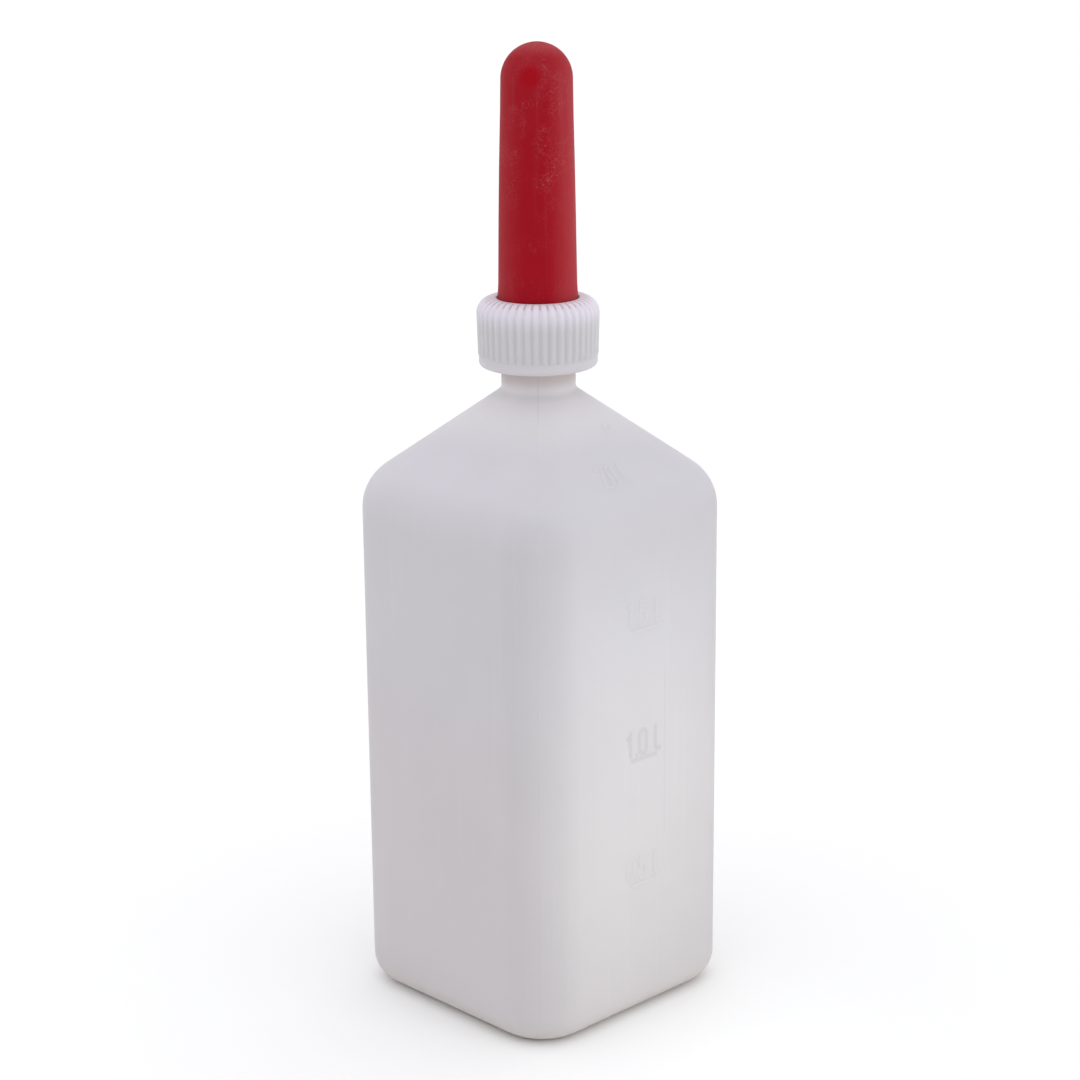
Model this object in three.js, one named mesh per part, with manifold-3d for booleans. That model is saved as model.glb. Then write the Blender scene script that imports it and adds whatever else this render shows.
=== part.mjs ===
// Calf feeding bottle: a two litre blow-moulded square bottle, a ribbed screw cap, a rubber teat
// clamped under the cap, and a ball non-return valve in the teat's foot.
// Millimetres, +Z up. The origin is the centre of the base, on the surface that the bottle stands on.
// The graduated face of the bottle looks along -Y.

import * as THREE from 'three';
import { mergeVertices } from 'three/addons/utils/BufferGeometryUtils.js';
import Module from 'manifold-3d';

const wasm = await Module();
wasm.setup();

// ---------------------------------------------------------------------------------------------
// Driving dimensions
// ---------------------------------------------------------------------------------------------

const GAP = 0.3; // left between pieces that rest on each other

// Bottle body: a rounded square that narrows to a round neck
const BODY_SIDE = 105.4;
const BODY_CORNER_RADIUS = 21.5;
const BODY_WALL = 1.4;
const SHOULDER_START_Z = 188.5;
const SHOULDER_ARC_RADIUS = 18.8; // over a corner, where the side turns into the slope
const SHOULDER_TOP_Z = 233.1;

// Bottle base: a flat foot ring round a raised middle
const BASE_EDGE_RADIUS = 11;
const BASE_WALL = 2;
const FOOT_RING_WIDTH = 6;
const PUSH_UP_HEIGHT = 3;
const PUSH_UP_RAMP = 5;

// Bottle neck: a narrow waist, and above it the threaded finish
const WAIST_RADIUS = 13.6;
const WAIST_WALL = 1.8;
const WAIST_TOP_Z = 242.2;
const FINISH_START_Z = 246;
const FINISH_RADIUS = 17.5;
const FINISH_WALL = 2.2;
const RIM_Z = 257;
const RIM_CHAMFER = 0.5;

// Screw thread, shared by the neck and the cap
const THREAD_PITCH = 4.2;
const THREAD_TURNS = 1.9;
const THREAD_HEIGHT = 1.2;
const THREAD_FOOT = 2; // width at the wall
const THREAD_CREST = 0.8;
const THREAD_EMBED = 0.8; // how deep the thread's foot is sunk in the wall
const THREAD_RUN_OUT = 0.1; // share of the length that tapers at each end
const NECK_THREAD_START_Z = 246.8;
const THREAD_STEPS_PER_TURN = 32;

// Screw cap
const CAP_BOTTOM_Z = 241.6;
const CAP_TOP_Z = 266.8;
const CAP_RADIUS = 22.4;
const CAP_FOOT_RADIUS = 22; // over the ribs at their lower end
const CAP_BAND_RADIUS = 21.7;
const CAP_BAND_HEIGHT = 4.2; // plain band below the ribs
const CAP_EDGE_RADIUS = 5.6;
const CAP_TOP_PLATE = 2.4;
const CAP_HOLE_RADIUS = 15;
const CAP_BORE_RADIUS = 19.2;
const CAP_CHAMFER = 0.8;
const CAP_FOOT_CHAMFER = 1.5;
const RIB_COUNT = 44;
const RIB_DEPTH = 0.8;
const RIB_STEP = 0.3; // height over which the ribs stand out from the band
const RIB_END_ANGLE = 77; // degrees round the top edge, where the grooves run out
const RIB_TURN = 124 / RIB_COUNT; // degrees by which the ribs are turned about the axis

// Teat
const TEAT_TOP_Z = 357.9;
const TEAT_TIP_RADIUS = 12.9;
const TEAT_FOOT_RADIUS = 14.6;
const TEAT_FLARE_HEIGHT = 6; // above the cap, where the foot draws in to the barrel
const TEAT_BARREL_RADIUS = 14.2;
const TEAT_WALL = 3;
const TEAT_TIP_WALL = 4;
const TEAT_SLIT_LENGTH = 6;
const TEAT_SLIT_WIDTH = 0.5;
const FLANGE_RADIUS = 17.6;
const FLANGE_THICKNESS = 2.8;

// Non-return valve
const PLATE_THICKNESS = 1.6;
const PLATE_COLLAR_OUTER_RADIUS = 10.8;
const PLATE_COLLAR_INNER_RADIUS = 9.8;
const PLATE_COLLAR_HEIGHT = 3;
const SEAT_HOLE_RADIUS = 4;
const BALL_RADIUS = 6;
const BALL_TRAVEL = 4;
const CAGE_RADIUS = 9.4;
const CAGE_WALL = 2;
const CAGE_FOOT_HEIGHT = 3.2; // ring below the slots
const CAGE_TOP_THICKNESS = 1.8;
const CAGE_TOP_HOLE_RADIUS = 3;
const CAGE_SLOT_WIDTH = 7;
const SEALING_RING_THICKNESS = 1.8;
const SEALING_RING_INNER_RADIUS = 14.8;

// Facets
const FLAT_SEGMENTS = 3; // from the middle of a flat side to its corner
const CORNER_SEGMENTS = 6;
const ARC_STEPS = 4;
const SLOPE_STEPS = 3;
const ROUND_SEGMENTS = 36;

// ---------------------------------------------------------------------------------------------
// Heights that follow from the stack under the cap
// ---------------------------------------------------------------------------------------------

const FLANGE_TOP_Z = CAP_TOP_Z - CAP_TOP_PLATE - GAP;
const FLANGE_BOTTOM_Z = FLANGE_TOP_Z - FLANGE_THICKNESS;
const PLATE_TOP_Z = FLANGE_BOTTOM_Z - GAP;
const PLATE_BOTTOM_Z = PLATE_TOP_Z - PLATE_THICKNESS;
const RING_TOP_Z = PLATE_BOTTOM_Z - GAP;
const BALL_CENTRE_Z = PLATE_TOP_Z + Math.sqrt((BALL_RADIUS + GAP) ** 2 - SEAT_HOLE_RADIUS ** 2);

// ---------------------------------------------------------------------------------------------
// Solids
// ---------------------------------------------------------------------------------------------

/** Keeps only positions, joins the vertices that coincide and drops triangles without area. */
function closed(geometry) {
  const bare = new THREE.BufferGeometry();
  bare.setAttribute('position', geometry.attributes.position);
  bare.setIndex(geometry.index);
  const merged = mergeVertices(bare, 1e-3);
  const corners = merged.index.array;
  const kept = [];
  for (let start = 0; start < corners.length; start += 3) {
    const [a, b, c] = corners.slice(start, start + 3);
    if (a !== b && b !== c && c !== a) kept.push(a, b, c);
  }
  merged.setIndex(kept);
  return merged;
}

/** A three.js geometry as a solid that can be joined and cut. */
function toSolid(geometry) {
  const { attributes, index } = closed(geometry);
  return new wasm.Manifold(new wasm.Mesh({
    numProp: 3,
    vertProperties: new Float32Array(attributes.position.array),
    triVerts: new Uint32Array(index.array),
  }));
}

/** A joined or cut solid as a three.js geometry. */
function toGeometry(solid) {
  const { vertProperties, triVerts } = solid.getMesh();
  const geometry = new THREE.BufferGeometry();
  geometry.setAttribute('position', new THREE.BufferAttribute(vertProperties, 3));
  geometry.setIndex(new THREE.BufferAttribute(triVerts, 1));
  return geometry;
}

/** A profile of [radius, z] points turned about the Z axis, outer side upwards. */
function revolve(profile, segments) {
  const points = profile.map(([radius, z]) => new THREE.Vector2(radius, z));
  return new THREE.LatheGeometry(points, segments).rotateX(Math.PI / 2);
}

/** Points on a circular arc in the [radius, z] plane, angles in degrees from the outward direction. */
function arc(centreRadius, centreZ, radius, fromDegrees, toDegrees, steps) {
  const points = [];
  for (let step = 0; step <= steps; step += 1) {
    const angle = THREE.MathUtils.degToRad(THREE.MathUtils.lerp(fromDegrees, toDegrees, step / steps));
    points.push([centreRadius + radius * Math.cos(angle), centreZ + radius * Math.sin(angle)]);
  }
  return points;
}

/**
 * A right-hand screw thread: a straight trapezoid bar bent round the Z axis.
 * side is 1 for a thread that stands out from a neck and -1 for one that stands in from a bore.
 */
function screwThread(wallRadius, startZ, side) {
  const section = new THREE.Shape([
    new THREE.Vector2(-THREAD_EMBED, -THREAD_FOOT / 2),
    new THREE.Vector2(0, -THREAD_FOOT / 2),
    new THREE.Vector2(THREAD_HEIGHT, -THREAD_CREST / 2),
    new THREE.Vector2(THREAD_HEIGHT, THREAD_CREST / 2),
    new THREE.Vector2(0, THREAD_FOOT / 2),
    new THREE.Vector2(-THREAD_EMBED, THREAD_FOOT / 2),
  ]);
  const steps = Math.round(THREAD_STEPS_PER_TURN * THREAD_TURNS);
  const bar = new THREE.ExtrudeGeometry(section, { depth: 1, steps, bevelEnabled: false });
  const position = bar.attributes.position;
  const sunk = -THREAD_EMBED / 4; // the tapered ends finish just under the wall
  for (let index = 0; index < position.count; index += 1) {
    const along = position.getZ(index);
    const height = position.getX(index);
    const fullness = Math.min(1, along / THREAD_RUN_OUT, (1 - along) / THREAD_RUN_OUT);
    const stand = height > 0 ? THREE.MathUtils.lerp(sunk, height, fullness) : height + sunk;
    const radius = wallRadius + side * stand;
    const angle = along * THREAD_TURNS * 2 * Math.PI;
    const z = startZ + along * THREAD_TURNS * THREAD_PITCH - side * position.getY(index);
    position.setXYZ(index, radius * Math.cos(angle), radius * Math.sin(angle), z);
  }
  return toSolid(bar);
}

/** A bar through the Z axis joined with itself at a right angle, as a cross. */
function crossed(bar) {
  return toSolid(bar).add(toSolid(bar.clone().rotateZ(Math.PI / 2)));
}

/** A named piece of the bottle. */
function piece(name, geometry, material) {
  const mesh = new THREE.Mesh(geometry, material);
  mesh.name = name;
  return mesh;
}

// ---------------------------------------------------------------------------------------------
// Materials
// ---------------------------------------------------------------------------------------------

const bottlePlastic = new THREE.MeshStandardMaterial({ color: 0xd3d1d6, roughness: 0.45, metalness: 0 });
const capPlastic = new THREE.MeshStandardMaterial({ color: 0xdcdadf, roughness: 0.4, metalness: 0 });
const teatRubber = new THREE.MeshStandardMaterial({ color: 0x9c2230, roughness: 0.6, metalness: 0 });
const valvePlastic = new THREE.MeshStandardMaterial({ color: 0xe8e8e4, roughness: 0.4, metalness: 0 });
const ballPlastic = new THREE.MeshStandardMaterial({ color: 0xf2f2ee, roughness: 0.25, metalness: 0 });
const sealRubber = new THREE.MeshStandardMaterial({ color: 0xb9b2a4, roughness: 0.7, metalness: 0 });

// ---------------------------------------------------------------------------------------------
// Bottle
// ---------------------------------------------------------------------------------------------

/** Angles of a section's points: few along the flat sides and more round the corners. */
function sectionAngles() {
  const half = BODY_SIDE / 2;
  const cornerStart = Math.atan2(half - BODY_CORNER_RADIUS, half);
  const cornerSpan = Math.PI / 2 - 2 * cornerStart;
  const angles = [];
  for (let quarter = 0; quarter < 4; quarter += 1) {
    const start = (quarter * Math.PI) / 2;
    for (let step = 0; step < FLAT_SEGMENTS; step += 1) {
      angles.push(start + (cornerStart * step) / FLAT_SEGMENTS);
    }
    for (let step = 0; step < CORNER_SEGMENTS; step += 1) {
      angles.push(start + cornerStart + (cornerSpan * step) / CORNER_SEGMENTS);
    }
    for (let step = 0; step < FLAT_SEGMENTS; step += 1) {
      angles.push(start + cornerStart + cornerSpan + (cornerStart * step) / FLAT_SEGMENTS);
    }
  }
  angles.push(2 * Math.PI);
  return angles;
}

/** Distance from the axis to a rounded square's outline in one direction. */
function reach(angle, halfSide, cornerRadius) {
  const cosine = Math.abs(Math.cos(angle));
  const sine = Math.abs(Math.sin(angle));
  const flatReach = halfSide / Math.max(cosine, sine);
  const cornerCentre = halfSide - cornerRadius;
  if (flatReach * Math.min(cosine, sine) <= cornerCentre) return flatReach;
  const along = cornerCentre * (cosine + sine);
  return along + Math.sqrt(along ** 2 - 2 * cornerCentre ** 2 + cornerRadius ** 2);
}

/** One level of the bottle: a rounded square, or a circle where the corner radius is the half side. */
function level(z, halfSide, cornerRadius, wall) {
  return { z, halfSide, cornerRadius, wall };
}

/** The base, from its middle out over the foot ring and round the edge to the side. */
function baseLevels() {
  const half = BODY_SIDE / 2;
  const footOuter = half - BASE_EDGE_RADIUS;
  const footInner = footOuter - FOOT_RING_WIDTH;
  const rampTop = footInner - PUSH_UP_RAMP;
  const footCorner = BODY_CORNER_RADIUS - BASE_EDGE_RADIUS;
  const levels = [
    level(PUSH_UP_HEIGHT, 0, 0, BASE_WALL),
    level(PUSH_UP_HEIGHT, rampTop, footCorner, BASE_WALL),
    level(0, footInner, footCorner, BASE_WALL),
  ];
  for (const [halfSide, z] of arc(footOuter, BASE_EDGE_RADIUS, BASE_EDGE_RADIUS, -90, 0, ARC_STEPS)) {
    levels.push(level(z, halfSide, footCorner + halfSide - footOuter, BODY_WALL));
  }
  return levels;
}

/**
 * The shoulder, a square that becomes a circle.
 * Its outline over a corner is an arc that leaves the side upright, then a straight slope to the neck.
 */
function shoulderLevels() {
  const half = BODY_SIDE / 2;
  const cornerReach = reach(Math.PI / 4, half, BODY_CORNER_RADIUS);
  const arcCentre = new THREE.Vector2(cornerReach - SHOULDER_ARC_RADIUS, SHOULDER_START_Z);
  const toNeck = new THREE.Vector2(WAIST_RADIUS, SHOULDER_TOP_Z).sub(arcCentre);
  const turn = toNeck.angle() - Math.acos(SHOULDER_ARC_RADIUS / toNeck.length());
  const turnDegrees = THREE.MathUtils.radToDeg(turn);
  const outline = arc(arcCentre.x, arcCentre.y, SHOULDER_ARC_RADIUS, 0, turnDegrees, ARC_STEPS);
  const [slopeReach, slopeZ] = outline.at(-1);
  for (let step = 1; step <= SLOPE_STEPS; step += 1) {
    const share = step / SLOPE_STEPS;
    outline.push([
      THREE.MathUtils.lerp(slopeReach, WAIST_RADIUS, share),
      THREE.MathUtils.lerp(slopeZ, SHOULDER_TOP_Z, share),
    ]);
  }
  return outline.map(([outlineReach, z]) => {
    const roundness = (cornerReach - outlineReach) / (cornerReach - WAIST_RADIUS);
    const halfSide = THREE.MathUtils.lerp(half, WAIST_RADIUS, roundness);
    const cornerRadius = THREE.MathUtils.lerp(BODY_CORNER_RADIUS, WAIST_RADIUS, roundness);
    return level(z, halfSide, cornerRadius, THREE.MathUtils.lerp(BODY_WALL, WAIST_WALL, roundness));
  });
}

/** The neck, from the top of the waist to just under the rim. */
function neckLevels() {
  return [
    level(WAIST_TOP_Z, WAIST_RADIUS, WAIST_RADIUS, WAIST_WALL),
    level(FINISH_START_Z, FINISH_RADIUS, FINISH_RADIUS, FINISH_WALL),
    level(RIM_Z - RIM_CHAMFER, FINISH_RADIUS, FINISH_RADIUS, FINISH_WALL),
  ];
}

/** The inside of the wall: each level moved in by the wall, square to the line between its neighbours. */
function insideOf(levels) {
  return levels.map((here, index) => {
    const before = levels[Math.max(index - 1, 0)];
    const after = levels[Math.min(index + 1, levels.length - 1)];
    const run = new THREE.Vector2(after.halfSide - before.halfSide, after.z - before.z).normalize();
    const inward = here.wall * run.y;
    return level(
      here.z + here.wall * run.x,
      Math.max(here.halfSide - inward, 0),
      Math.max(here.cornerRadius - inward, 0),
      here.wall,
    );
  });
}

/** A surface through all the levels, one ring of section points to each. */
function loft(levels) {
  const angles = sectionAngles();
  const points = levels.map(({ halfSide, z }) => new THREE.Vector2(halfSide, z));
  const geometry = new THREE.LatheGeometry(points, angles.length - 1);
  const position = geometry.attributes.position;
  for (let index = 0; index < position.count; index += 1) {
    const angle = angles[Math.floor(index / levels.length)];
    const { z, halfSide, cornerRadius } = levels[index % levels.length];
    const distance = reach(angle, halfSide, cornerRadius);
    position.setXYZ(index, distance * Math.sin(angle), -distance * Math.cos(angle), z);
  }
  return geometry;
}

function makeBottle() {
  const outside = [...baseLevels(), ...shoulderLevels(), ...neckLevels()];
  const inside = insideOf(outside).reverse();
  const rimInner = FINISH_RADIUS - FINISH_WALL + RIM_CHAMFER;
  const rim = [
    level(RIM_Z, FINISH_RADIUS - RIM_CHAMFER, FINISH_RADIUS - RIM_CHAMFER, FINISH_WALL),
    level(RIM_Z, rimInner, rimInner, FINISH_WALL),
  ];
  const shell = toSolid(loft([...outside, ...rim, ...inside]));
  const thread = screwThread(FINISH_RADIUS, NECK_THREAD_START_Z, 1);
  return piece('bottle', toGeometry(shell.add(thread)), bottlePlastic);
}

// ---------------------------------------------------------------------------------------------
// Screw cap
// ---------------------------------------------------------------------------------------------

/** The cap's closed profile: [radius, z, how much the grooves cut in along the radius, and down]. */
function capProfile() {
  const ribsStart = CAP_BOTTOM_Z + CAP_BAND_HEIGHT;
  const edgeCentreRadius = CAP_RADIUS - CAP_EDGE_RADIUS;
  const edgeCentreZ = CAP_TOP_Z - CAP_EDGE_RADIUS;
  const plateBottom = CAP_TOP_Z - CAP_TOP_PLATE;
  const ribbedEdge = arc(edgeCentreRadius, edgeCentreZ, CAP_EDGE_RADIUS, 0, RIB_END_ANGLE, ARC_STEPS);
  return [
    [CAP_BORE_RADIUS + CAP_CHAMFER, CAP_BOTTOM_Z, 0, 0],
    [CAP_BAND_RADIUS - CAP_FOOT_CHAMFER, CAP_BOTTOM_Z, 0, 0],
    [CAP_BAND_RADIUS, CAP_BOTTOM_Z + CAP_FOOT_CHAMFER, 0, 0],
    [CAP_BAND_RADIUS, ribsStart, 0, 0],
    [CAP_FOOT_RADIUS, ribsStart + RIB_STEP, RIB_DEPTH, 0],
    ...ribbedEdge.map(([radius, z], step) => {
      const depth = step === ARC_STEPS ? 0 : RIB_DEPTH;
      const outward = (radius - edgeCentreRadius) / CAP_EDGE_RADIUS;
      const upward = (z - edgeCentreZ) / CAP_EDGE_RADIUS;
      return [radius, z, depth * outward, depth * upward];
    }),
    [edgeCentreRadius, CAP_TOP_Z, 0, 0],
    [CAP_HOLE_RADIUS, CAP_TOP_Z, 0, 0],
    [CAP_HOLE_RADIUS, plateBottom, 0, 0],
    [CAP_BORE_RADIUS, plateBottom, 0, 0],
    [CAP_BORE_RADIUS, CAP_BOTTOM_Z + CAP_CHAMFER, 0, 0],
    [CAP_BORE_RADIUS + CAP_CHAMFER, CAP_BOTTOM_Z, 0, 0],
  ];
}

/** The cap turned with two segments to a rib: every second one is moved in to make a groove. */
function ribbedCap() {
  const profile = capProfile();
  const shape = revolve(profile, 2 * RIB_COUNT);
  const position = shape.attributes.position;
  for (let index = 0; index < position.count; index += 1) {
    const isGroove = Math.floor(index / profile.length) % 2 === 1;
    const [radius, z, cutIn, cutDown] = profile[index % profile.length];
    if (isGroove) {
      const scale = (radius - cutIn) / radius;
      position.setXYZ(index, position.getX(index) * scale, position.getY(index) * scale, z - cutDown);
    }
  }
  return toSolid(shape.rotateZ(THREE.MathUtils.degToRad(RIB_TURN)));
}

function makeScrewCap() {
  const thread = screwThread(CAP_BORE_RADIUS, NECK_THREAD_START_Z - THREAD_PITCH / 2, -1);
  return piece('screw_cap', toGeometry(ribbedCap().add(thread)), capPlastic);
}

// ---------------------------------------------------------------------------------------------
// Teat
// ---------------------------------------------------------------------------------------------

/** The teat's profile: up the outside from the flange, over the tip, and back down the bore. */
function teatProfile() {
  const tipCentreZ = TEAT_TOP_Z - TEAT_TIP_RADIUS;
  const boreTipRadius = TEAT_TIP_RADIUS - TEAT_WALL;
  const boreTipCentreZ = TEAT_TOP_Z - TEAT_TIP_WALL - boreTipRadius;
  const boreFootRadius = TEAT_BARREL_RADIUS - TEAT_WALL;
  const tipSteps = 2 * ARC_STEPS;
  const outside = [
    [FLANGE_RADIUS, FLANGE_BOTTOM_Z],
    [FLANGE_RADIUS, FLANGE_TOP_Z],
    [TEAT_FOOT_RADIUS, FLANGE_TOP_Z],
    [TEAT_FOOT_RADIUS, CAP_TOP_Z + GAP],
    [TEAT_BARREL_RADIUS, CAP_TOP_Z + TEAT_FLARE_HEIGHT],
    ...arc(0, tipCentreZ, TEAT_TIP_RADIUS, 0, 90, tipSteps),
  ];
  const inside = [
    ...arc(0, boreTipCentreZ, boreTipRadius, 90, 0, tipSteps),
    [boreFootRadius, FLANGE_BOTTOM_Z],
  ];
  return [...inside, ...outside];
}

/** The cross cut through the tip that opens when the calf squeezes. */
function teatSlits() {
  const cut = new THREE.BoxGeometry(TEAT_SLIT_LENGTH, TEAT_SLIT_WIDTH, 2 * TEAT_TIP_WALL);
  cut.translate(0, 0, TEAT_TOP_Z - TEAT_TIP_WALL / 2);
  return crossed(cut);
}

function makeTeat() {
  const body = toSolid(revolve(teatProfile(), ROUND_SEGMENTS));
  return piece('teat', toGeometry(body.subtract(teatSlits())), teatRubber);
}

// ---------------------------------------------------------------------------------------------
// Non-return valve
// ---------------------------------------------------------------------------------------------

/** The disc with the seat hole, and a collar round the cage's foot. */
function makeValvePlate() {
  const collarTop = PLATE_TOP_Z + PLATE_COLLAR_HEIGHT;
  const profile = [
    [SEAT_HOLE_RADIUS, PLATE_BOTTOM_Z],
    [FLANGE_RADIUS, PLATE_BOTTOM_Z],
    [FLANGE_RADIUS, PLATE_TOP_Z],
    [PLATE_COLLAR_OUTER_RADIUS, PLATE_TOP_Z],
    [PLATE_COLLAR_OUTER_RADIUS, collarTop],
    [PLATE_COLLAR_INNER_RADIUS, collarTop],
    [PLATE_COLLAR_INNER_RADIUS, PLATE_TOP_Z],
    [SEAT_HOLE_RADIUS, PLATE_TOP_Z],
    [SEAT_HOLE_RADIUS, PLATE_BOTTOM_Z],
  ];
  return piece('valve_plate', closed(revolve(profile, ROUND_SEGMENTS)), valvePlastic);
}

/** The cage: a cup upside down over the ball, with a hole in its top and four slots. */
function makeValveCage() {
  const footZ = PLATE_TOP_Z + GAP;
  const innerRadius = CAGE_RADIUS - CAGE_WALL;
  const ceilingZ = BALL_CENTRE_Z + BALL_TRAVEL + BALL_RADIUS + GAP;
  const topZ = ceilingZ + CAGE_TOP_THICKNESS;
  const slotBottomZ = footZ + CAGE_FOOT_HEIGHT;
  const cup = toSolid(revolve([
    [innerRadius, footZ],
    [CAGE_RADIUS, footZ],
    [CAGE_RADIUS, topZ],
    [CAGE_TOP_HOLE_RADIUS, topZ],
    [CAGE_TOP_HOLE_RADIUS, ceilingZ],
    [innerRadius, ceilingZ],
    [innerRadius, footZ],
  ], ROUND_SEGMENTS));
  const slot = new THREE.BoxGeometry(3 * CAGE_RADIUS, CAGE_SLOT_WIDTH, ceilingZ - slotBottomZ);
  slot.translate(0, 0, (ceilingZ + slotBottomZ) / 2);
  return piece('valve_cage', toGeometry(cup.subtract(crossed(slot))), valvePlastic);
}

/** The ball, resting on the edge of the seat hole. */
function makeValveBall() {
  const ball = piece('valve_ball', new THREE.SphereGeometry(BALL_RADIUS, 20, 12), ballPlastic);
  ball.position.z = BALL_CENTRE_Z;
  return ball;
}

function makeSealingRing() {
  const bottomZ = RING_TOP_Z - SEALING_RING_THICKNESS;
  const profile = [
    [SEALING_RING_INNER_RADIUS, bottomZ],
    [FLANGE_RADIUS, bottomZ],
    [FLANGE_RADIUS, RING_TOP_Z],
    [SEALING_RING_INNER_RADIUS, RING_TOP_Z],
    [SEALING_RING_INNER_RADIUS, bottomZ],
  ];
  return piece('sealing_ring', closed(revolve(profile, ROUND_SEGMENTS)), sealRubber);
}

// ---------------------------------------------------------------------------------------------
// Assembly
// ---------------------------------------------------------------------------------------------

const group = new THREE.Group();
group.add(
  makeBottle(),
  makeScrewCap(),
  makeTeat(),
  makeValvePlate(),
  makeValveCage(),
  makeValveBall(),
  makeSealingRing(),
);

export default group;
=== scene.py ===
"""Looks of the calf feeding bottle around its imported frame. Blender 4.5, metres, +Z up.

The origin is the centre of the base, and the graduated face looks along -Y.
"""

import math

import bmesh
import bpy
import numpy as np
from mathutils import Matrix, Vector


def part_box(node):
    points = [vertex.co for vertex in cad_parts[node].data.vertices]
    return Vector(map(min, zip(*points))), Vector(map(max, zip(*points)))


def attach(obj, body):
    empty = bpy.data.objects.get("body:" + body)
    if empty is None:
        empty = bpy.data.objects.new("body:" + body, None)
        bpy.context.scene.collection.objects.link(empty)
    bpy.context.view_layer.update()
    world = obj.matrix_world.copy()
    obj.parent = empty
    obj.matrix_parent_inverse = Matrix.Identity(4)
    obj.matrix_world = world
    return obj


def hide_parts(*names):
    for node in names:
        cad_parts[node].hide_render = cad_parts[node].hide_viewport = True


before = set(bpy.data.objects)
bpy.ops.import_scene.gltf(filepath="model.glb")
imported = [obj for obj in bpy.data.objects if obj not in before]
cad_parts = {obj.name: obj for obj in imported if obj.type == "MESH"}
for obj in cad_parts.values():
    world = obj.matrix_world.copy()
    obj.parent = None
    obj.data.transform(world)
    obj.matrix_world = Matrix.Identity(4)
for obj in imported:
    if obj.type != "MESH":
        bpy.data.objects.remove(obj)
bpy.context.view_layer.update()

MM = 0.001

# -------------------------------------------------------------------------------------------
# Sizes: the frame gives the outsides, and these values the rest
# -------------------------------------------------------------------------------------------

# Bottle
HALF_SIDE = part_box("bottle")[1].x
RIM_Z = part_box("bottle")[1].z
CORNER_RADIUS = 21.5 * MM
BODY_WALL = 1.4 * MM
BASE_EDGE_RADIUS = 11 * MM
FOOT_RING_WIDTH = 6 * MM
PUSH_UP_HEIGHT = 3 * MM
PUSH_UP_RAMP = 5 * MM
SHOULDER_START_Z = 188.5 * MM
SHOULDER_ARC_RADIUS = 18.8 * MM
SHOULDER_TOP_Z = 233.1 * MM
PANEL_BOW = 0.35 * MM  # how far the middle of each face is drawn in
SEAM_HEIGHT = 0.05 * MM
SEAM_WIDTH = 0.35 * MM
SEAM_EDGE = 0.9 * MM
SEAM_OFFSETS = [share * SEAM_EDGE for share in (-1, -0.6, -0.3, 0, 0.3, 0.6, 1)]
SEAM_LEAST_REACH = 12 * MM  # the seam narrows where the section is smaller than this
SEAM_GAP = math.radians(5)  # each side of the seam, left to the seam's own columns
NECK_FILLET = 1.6 * MM
WAIST_RADIUS = 13.6 * MM
WAIST_WALL = 1.8 * MM
WAIST_TOP_Z = 242.2 * MM
FINISH_START_Z = 246 * MM
FINISH_RADIUS = 17.5 * MM
FINISH_WALL = 2.2 * MM
RIM_ROUNDING = 0.5 * MM

# Screw thread, on the neck and in the cap
THREAD_PITCH = 4.2 * MM
THREAD_TURNS = 1.9
THREAD_START_Z = 246.8 * MM
THREAD_HEIGHT = 1.2 * MM
THREAD_FOOT = 2 * MM
THREAD_CREST = 0.8 * MM
THREAD_EMBED = 0.8 * MM
THREAD_RUN_OUT = 0.1

# Screw cap
CAP_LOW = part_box("screw_cap")[0]
CAP_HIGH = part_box("screw_cap")[1]
CAP_RADIUS = CAP_HIGH.x
CAP_FOOT_RADIUS = CAP_RADIUS - 0.4 * MM
CAP_BAND_RADIUS = CAP_RADIUS - 0.7 * MM
CAP_BAND_HEIGHT = 4.2 * MM
CAP_FOOT_ROUNDING = 1.9 * MM
CAP_EDGE_RADIUS = 5.6 * MM
CAP_PLATE = 2.4 * MM
CAP_HOLE_RADIUS = 15 * MM
CAP_BORE_RADIUS = 19.2 * MM
CAP_FINE_ROUNDING = 0.4 * MM
RIB_COUNT = 44
RIB_DEPTH = 0.65 * MM
RIB_STEP = 0.35 * MM
RIB_PHASE = math.radians(56)
GROOVE_END = (40, 90)  # degrees round the top edge, where the grooves fade out

# Teat
TEAT_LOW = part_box("teat")[0]
TEAT_TOP_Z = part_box("teat")[1].z
FLANGE_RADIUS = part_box("teat")[1].x
FLANGE_THICKNESS = 2.8 * MM
TEAT_TIP_RADIUS = 12.9 * MM
TEAT_WALL = 3 * MM
TEAT_TIP_WALL = 4 * MM
# The barrel's outline: heights over the cap's top, and the radius there
TEAT_BARREL_HEIGHTS = [-2.4 * MM, 0.3 * MM, 1.6 * MM, 4.4 * MM, 13 * MM, 30 * MM, 48 * MM, 66 * MM]
TEAT_BARREL_RADII = [14.6 * MM, 14.65 * MM, 14.52 * MM, 14.32 * MM]
TEAT_BARREL_RADII += [14.18 * MM, 13.92 * MM, 13.56 * MM, 13.1 * MM]
TEAT_LEAN = 0.35 * MM  # how far the tip leans
TEAT_LEAN_DIRECTION = Vector((0.71, -0.7, 0))
# Worn patches of the teat: degrees round the axis from -Y towards +X, height, size
WORN_PATCHES = [
    (-35, 347 * MM, 8 * MM),
    (-82, 341 * MM, 14 * MM),
    (-40, 329 * MM, 12 * MM),
    (-32, 312 * MM, 11 * MM),
    (60, 340 * MM, 11 * MM),
    (150, 333 * MM, 14 * MM),
    (-150, 318 * MM, 12 * MM),
    (100, 305 * MM, 10 * MM),
]
SMOOTH_PATCH = (-54, 346.5 * MM, 6 * MM)
DUST_AND_LIGHT_SIDE = (0.716, -0.698, 0)  # the direction in which the dust is thickest and painted light falls on the teat
SLIT_LENGTH = 6 * MM
SLIT_WIDTH = 0.5 * MM

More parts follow.
